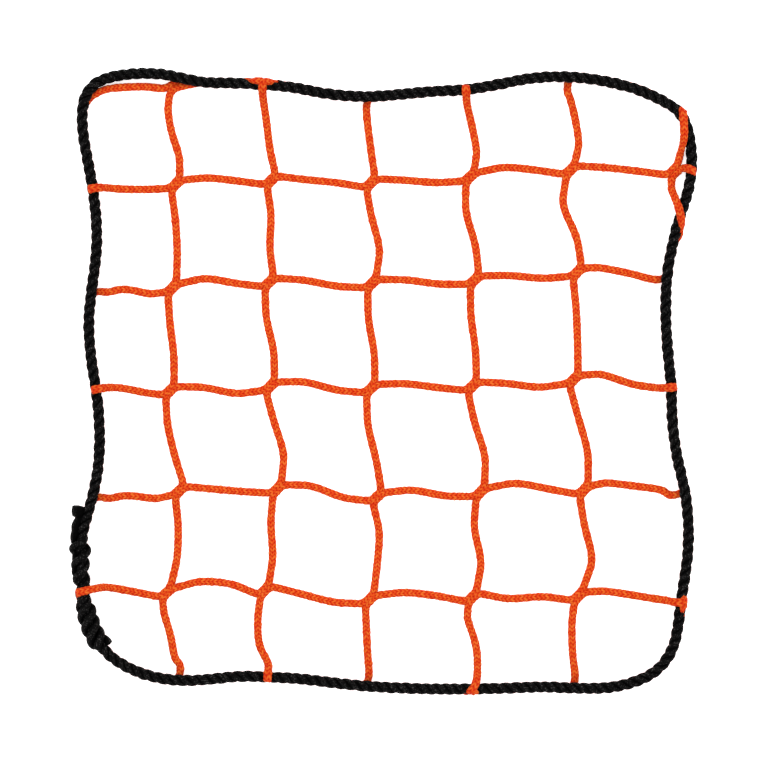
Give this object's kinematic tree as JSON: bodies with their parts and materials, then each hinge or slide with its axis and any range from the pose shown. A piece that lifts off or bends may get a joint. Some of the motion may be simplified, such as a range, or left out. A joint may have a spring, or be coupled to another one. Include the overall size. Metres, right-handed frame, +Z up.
{
  "type": "golf chipping net",
  "caption": "Square knotless mesh net of braided cord, edged with a laid rope woven through its outer meshes and spliced end to end.",
  "frame": {"origin": "on the ground, under the middle of the outline of the panel, which lies flat", "axes": "+Z up out of the panel, +Y towards the edge with the rounder rope corner beside a loose mesh on its right, +X to the right, with the splice on the -X edge"},
  "size_m": [0.2772, 0.2764, 0.013],
  "materials": {
    "netting_braid": "knitted orange polypropylene braid, matt with a slight sheen",
    "border_rope": "black laid polypropylene rope, matt"
  },
  "bodies": {
    "root": {"border_rope": "border_rope", "braid_from_bottom_1": "netting_braid", "braid_from_bottom_2": "netting_braid", "braid_from_bottom_3": "netting_braid", "braid_from_bottom_4": "netting_braid", "braid_from_bottom_5": "netting_braid", "braid_from_bottom_6": "netting_braid", "braid_from_left_1": "netting_braid", "braid_from_left_2": "netting_braid", "braid_from_left_3": "netting_braid", "braid_from_left_4": "netting_braid", "braid_from_left_5": "netting_braid", "braid_from_left_6": "netting_braid", "splice_strand_down_1": "border_rope", "splice_strand_down_2": "border_rope", "splice_strand_down_3": "border_rope", "splice_strand_up_1": "border_rope", "splice_strand_up_2": "border_rope", "splice_strand_up_3": "border_rope"}
  },
  "joints": []
}
